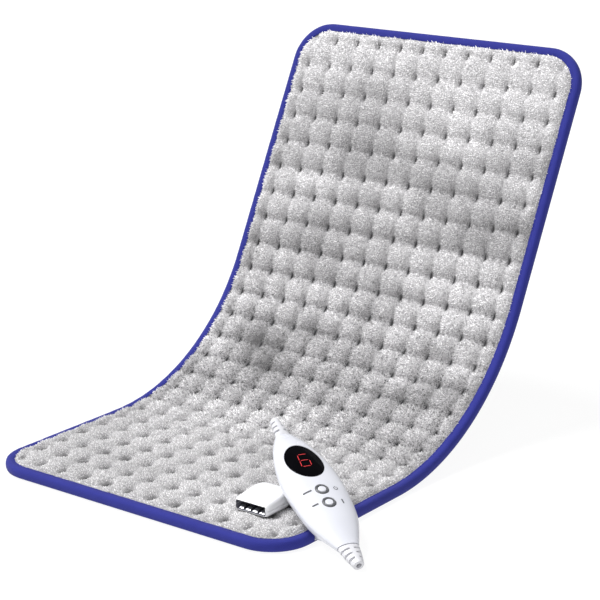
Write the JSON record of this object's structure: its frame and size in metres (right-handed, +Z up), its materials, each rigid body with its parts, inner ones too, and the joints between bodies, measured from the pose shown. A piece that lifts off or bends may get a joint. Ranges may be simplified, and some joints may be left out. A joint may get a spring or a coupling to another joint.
{
  "type": "heating pad with controller",
  "caption": "Tufted plush heating pad with bound edges, bent up as on a chair, with its loose plug and a hand controller with a digit window and buttons leaning on it.",
  "frame": {"origin": "middle of the underside of the flat seat part", "axes": "+X to the side with the inlet, +Y from the front edge to the chair back, +Z up"},
  "size_m": [0.3624, 0.4417, 0.3207],
  "materials": {
    "plush": "short soft pile, tufted",
    "felt": "needled felt wadding",
    "lining": "plain woven lining",
    "binding": "folded woven tape with a stitched edge",
    "wire_jacket": "silicone jacket",
    "white_plastic": "smooth gloss",
    "black_lens": "polished dark window",
    "grey_plastic": "satin",
    "dark_plastic": "moulded, plain",
    "board": "lacquered",
    "tinned_metal": "tinned"
  },
  "bodies": {
    "pad_seat": {"plush_seat": "plush", "wadding_seat": "felt", "lining_seat": "lining", "binding_front": "binding", "heating_wire_seat": "wire_jacket", "overheat_cutout": "tinned_metal", "inlet_housing": "white_plastic", "inlet_blade_1": "tinned_metal", "inlet_blade_2": "tinned_metal", "inlet_blade_3": "tinned_metal", "inlet_blade_4": "tinned_metal", "plush_bend": "plush", "wadding_bend": "felt", "lining_bend": "lining", "binding_left": "binding", "binding_right": "binding", "heating_wire_bend": "wire_jacket"},
    "pad_back": {"plush_back": "plush", "wadding_back": "felt", "lining_back": "lining", "binding_top": "binding", "heating_wire_back": "wire_jacket"},
    "plug": {"plug_base": "white_plastic", "plug_cover": "white_plastic", "plug_carrier": "dark_plastic", "plug_contact_1": "tinned_metal", "plug_contact_2": "tinned_metal", "plug_contact_3": "tinned_metal", "plug_contact_4": "tinned_metal"},
    "controller": {"upper_shell": "white_plastic", "lower_shell": "white_plastic", "display_lens": "black_lens", "digit_display": "dark_plastic", "circuit_board": "board", "power_ring": "grey_plastic", "level_ring": "grey_plastic", "power_switch": "dark_plastic", "level_switch": "dark_plastic", "triac": "dark_plastic", "thermal_fuse": "tinned_metal", "upper_boot": "white_plastic", "lower_boot": "white_plastic", "case_screw_1": "tinned_metal", "case_screw_2": "tinned_metal", "case_screw_3": "tinned_metal", "case_screw_4": "tinned_metal", "board_screw_1": "tinned_metal", "board_screw_2": "tinned_metal"},
    "power_button_body": {"power_button": "white_plastic"},
    "level_button_body": {"level_button": "white_plastic"}
  },
  "joints": [
    {"name": "pad_fold", "type": "hinge", "parent": "pad_seat", "child": "pad_back", "pos_m": [0, 0.19, 0.021], "axis": [1, 0, 0], "range_deg": [-63, 45], "deforming": ["plush_bend", "wadding_bend", "lining_bend", "binding_left", "binding_right", "heating_wire_bend"]},
    {"name": "plug_slide", "type": "slide", "parent": "pad_seat", "child": "plug", "axis": [0, -1, 0], "range_m": [0, 0.06]},
    {"name": "controller_lift", "type": "slide", "parent": "pad_seat", "child": "controller", "axis": [0.2887, -0.1667, 0.9428], "range_m": [0, 0.08]},
    {"name": "power_press", "type": "slide", "parent": "controller", "child": "power_button_body", "axis": [-0.2887, 0.1667, -0.9428], "range_m": [0, 0.0008], "stiffness_N_per_m": 1500},
    {"name": "level_press", "type": "slide", "parent": "controller", "child": "level_button_body", "axis": [-0.2887, 0.1667, -0.9428], "range_m": [0, 0.0008], "stiffness_N_per_m": 1500}
  ]
}
